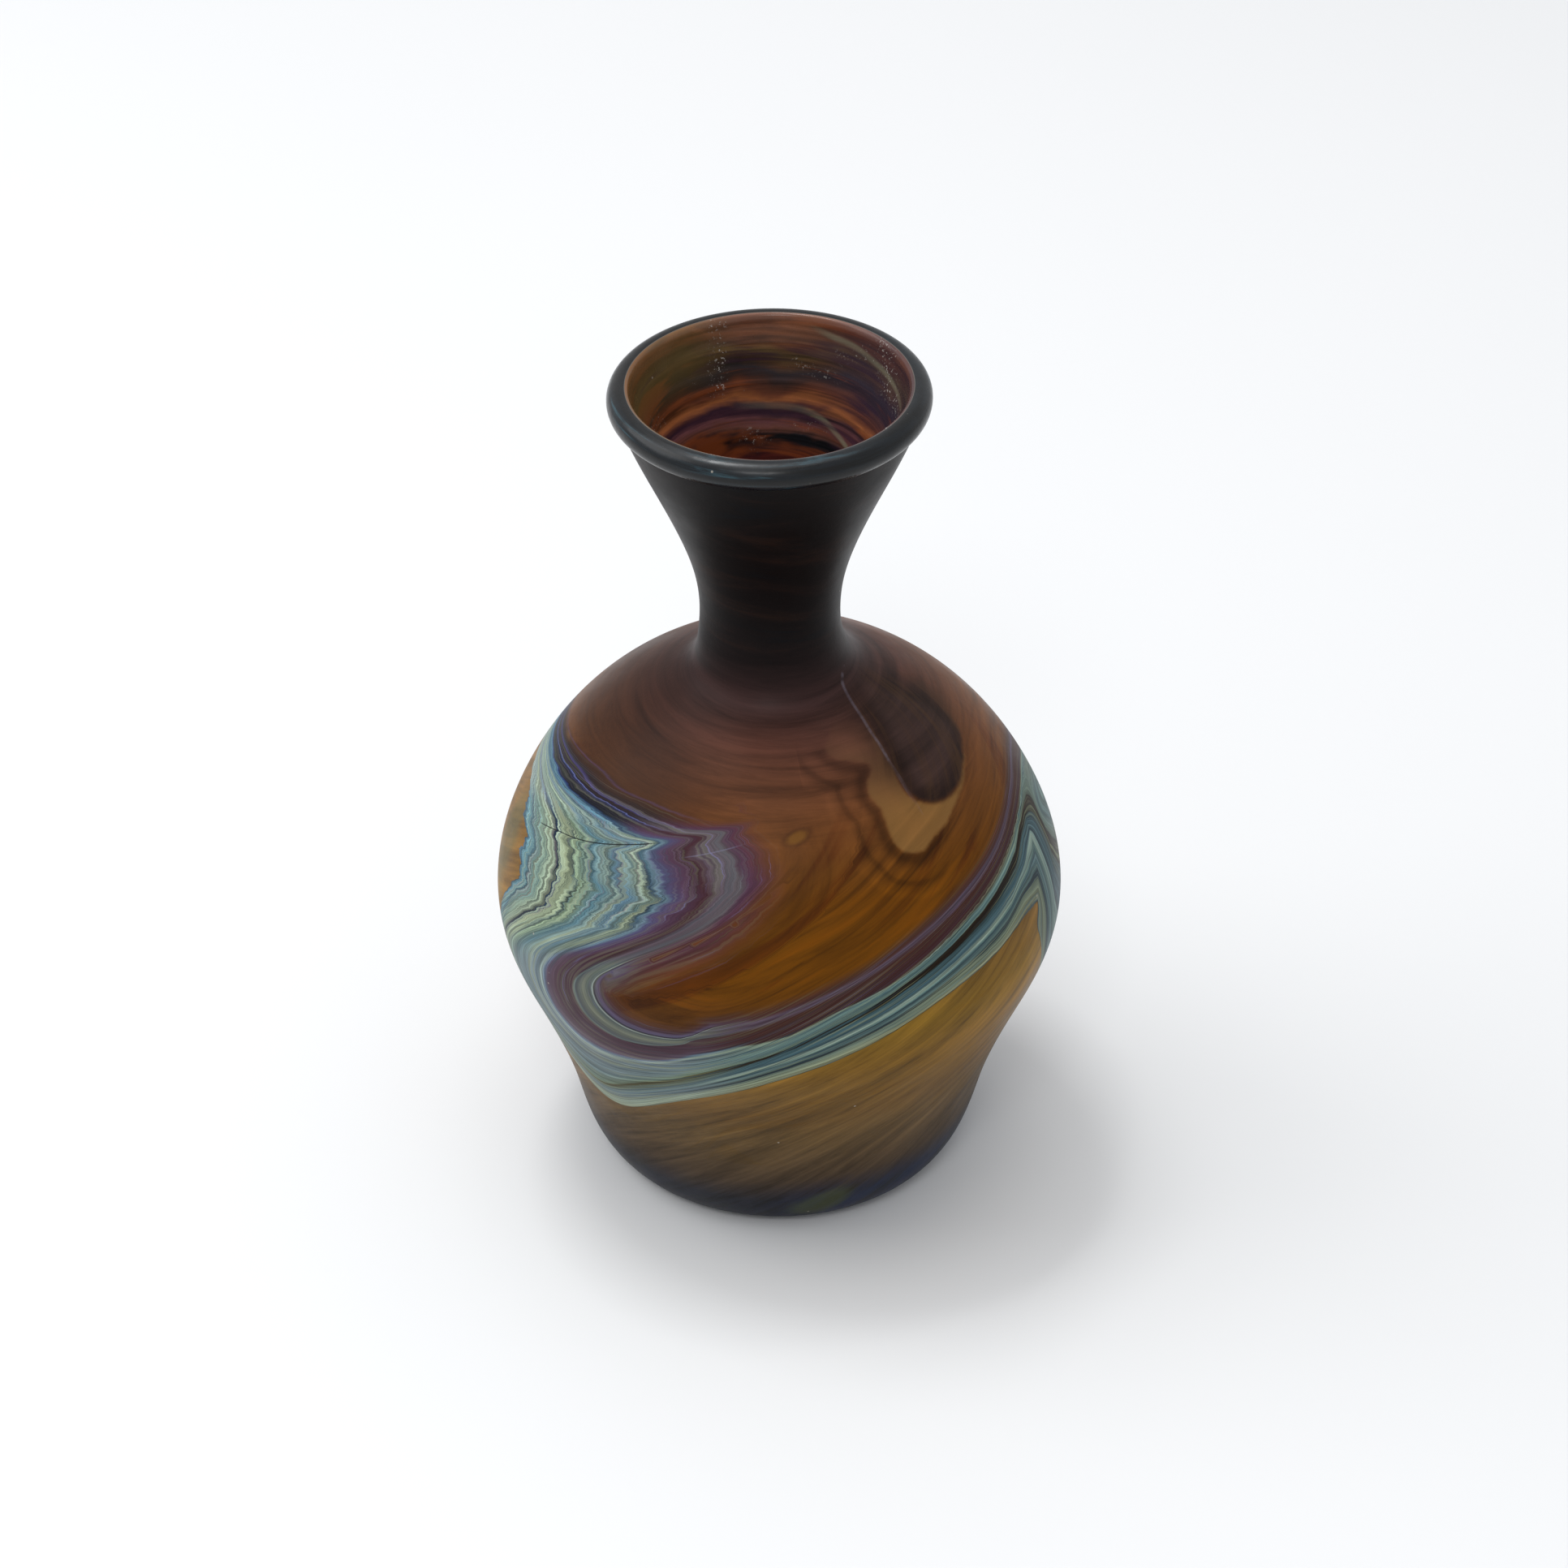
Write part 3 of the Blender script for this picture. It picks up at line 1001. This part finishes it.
def kick_level(radius):
    """The level of the pushed-up base, which is a part of a ball."""
    ball = (KICK_RADIUS**2 + KICK**2) / (2 * KICK)
    return KICK - ball + np.sqrt(ball**2 - radius**2)


def make_inside():
    """The vessel's hidden and inner surfaces: under the base, and from the floor up to the mouth."""
    radius = np.linspace(0.02, KICK_RADIUS, 24)
    kick = np.stack([radius, kick_level(radius)], axis=1)
    under = np.concatenate([kick, np.linspace(kick[-1], (FOOT_RADIUS, 0), 5)[1:]])
    inner = even_points(clamped_spline(INNER_LINE, 3000), INNER_ROWS)
    top = np.array([(WALL_TOP_RADIUS, WALL_TOP), (MOUTH_RADIUS, WALL_TOP)])
    return [
        sheet_of(under, COLUMNS),
        sheet_of(inner, INNER_COLUMNS, flip=True, inside=1),
        sheet_of(top, COLUMNS, inside=1),
    ]


def make_vessel_and_trails():
    """The vessel with its grooves, and the four trails that fill them."""
    table, faces, across = make_outside()
    lower = sunk(table, TRAIL_DEPTH)
    in_trail = {name: (across > low) & (across < high) for name, (low, high) in TRAILS.items()}
    trail_faces = {name: faces[inside] for name, inside in in_trail.items()}
    in_groove = np.any(list(in_trail.values()), axis=0)
    groove, plain = faces[in_groove], faces[~in_groove]
    sheets = [(table, plain), (lower, groove), walls(table, lower, boundary(groove), False)]
    make_mesh("vessel_glass", *join_sheets(sheets + make_inside()), outer_glass("amber_glass", 0.4),
              "amber_glass", "vessel")
    bottom = lower.copy()
    bottom[:, 3:6] *= -1
    for name, part in trail_faces.items():
        slot = name.replace("trail", "glass")
        sheets = [(table, part), (bottom, part[:, ::-1]), walls(table, lower, boundary(part), True)]
        make_mesh(name + "_glass", *join_sheets(sheets), outer_glass(slot, 0.42), slot, name)


def make_lip():
    """The rolled bead: a round section whose inner side runs on down the mouth's bore."""
    middle = np.array([LIP_RADIUS - LIP_BEAD, HEIGHT - LIP_BEAD])
    start = -math.asin((middle[1] - WALL_TOP) / LIP_BEAD)
    turn = np.linspace(start, math.radians(112), 26)
    arc = middle + LIP_BEAD * np.stack([np.cos(turn), np.sin(turn)], axis=1)
    bore = [(21.12, 139.55), (20.95, 139.1), (20.8, 138.2), (20.4, 136.8), (MOUTH_RADIUS, WALL_TOP)]
    bore = np.array(bore)
    section = even_points(np.concatenate([arc, bore]), 60)
    bottom = np.linspace(section[-1], section[0], 5)
    table, faces = join_sheets([sheet_of(line, COLUMNS, inside=1) for line in (section, bottom)])
    table[:, INSIDE] = 1 - smooth(21.3, 22.0, np.hypot(table[:, 0], table[:, 1]))
    make_mesh("lip_bead", table, faces, lip_glass(), "lip_glass", "lip_wrap")


def make_scar():
    """The broken wad of glass under the base: a low uneven disc with a chipped rim."""
    dice = random.Random(7)
    radius = np.array([0, 1.5, 3, 4.4, 5.4, 6.1, SCAR_RADIUS])
    drop = np.array([0.95, 1.0, 1.05, 1.15, 1.2, 0.8, 0.02])
    low = np.stack([radius, kick_level(radius) - drop], axis=1)
    line = even_points(low, 26)
    table, faces = sheet_of(line, 96)
    angle = np.arctan2(table[:, 1], table[:, 0])
    far = np.hypot(table[:, 0], table[:, 1]) / SCAR_RADIUS
    phases = [dice.uniform(0, 6.28) for _ in range(4)]
    chips = sum(np.sin(angle * (3 + 2 * i) + p) / (2 + i) for i, p in enumerate(phases))
    table[:, 2] += 0.22 * chips * far * (1 - far**4)
    top = np.stack([radius[::-1], kick_level(radius[::-1])], axis=1)
    table, faces = join_sheets([(table, faces), sheet_of(top, 96)])
    make_mesh("pontil_scar_glass", table, faces, scar_glass(), "scar_glass", "pontil_scar")


# ---- Studio ----

def make_floor():
    """A wide pale floor."""
    size = 6.0
    mesh = bpy.data.meshes.new("floor")
    corners = [(-size, -size, 0), (size, -size, 0), (size, size, 0), (-size, size, 0)]
    mesh.from_pydata(corners, [], [(0, 1, 2, 3)])
    floor = bpy.data.objects.new("floor", mesh)
    bpy.context.scene.collection.objects.link(floor)
    paper = Glass("paper")
    paper.set("Base Color", mixed(paper.place.noise(3, 2), "dedfe0", "e1e2e3"))
    paper.set("Roughness", 0.6)
    paper.set("Specular IOR Level", 0.25)
    mesh.materials.append(paper.material)


def make_light(name, place, size, power):
    """A soft box of white light, turned towards the vase's middle."""
    data = bpy.data.lights.new(name, "AREA")
    data.shape = "RECTANGLE"
    data.size, data.size_y = size
    data.energy = power
    lamp = bpy.data.objects.new(name, data)
    lamp.location = place
    middle = Vector((0, 0, HEIGHT / 2 * MM))
    lamp.rotation_euler = (middle - Vector(place)).to_track_quat("-Z", "Y").to_euler()
    bpy.context.scene.collection.objects.link(lamp)


LIGHTS = [  # name, place, width and height in metres, and watts
    ("left_box", (-0.9, 0.1, 0.8), (0.9, 0.7), 4),
    ("top_box", (-0.15, 0.12, 1.05), (1.0, 1.0), 3.3),
    ("high_box", (-0.24, 0.2, 1.2), (0.36, 0.12), 3.6),
    ("front_box", (-0.12, -0.85, 1.0), (0.34, 0.24), 2.4),
]


def make_studio():
    make_floor()
    for light in LIGHTS:
        make_light(*light)
    world = bpy.data.worlds.new("studio")
    world.use_nodes = True
    background = world.node_tree.nodes["Background"]
    background.inputs["Color"].default_value = (0.97, 0.98, 1.0, 1.0)
    background.inputs["Strength"].default_value = 0.67
    bpy.context.scene.world = world
    bpy.context.scene.view_settings.view_transform = "Standard"


def make_camera():
    """The photograph's view: a long lens looking down on the front."""
    data = bpy.data.cameras.new("camera")
    data.lens = 100
    data.sensor_width = 36
    data.clip_start = 0.01
    camera = bpy.data.objects.new("camera", data)
    camera.location = (0.00085, -0.56334, 0.46364)
    camera.rotation_euler = (math.radians(54.85), 0, 0)
    bpy.context.scene.collection.objects.link(camera)
    bpy.context.scene.camera = camera


make_vessel_and_trails()
make_lip()
make_scar()
make_studio()
make_camera()

bpy.context.view_layer.update()
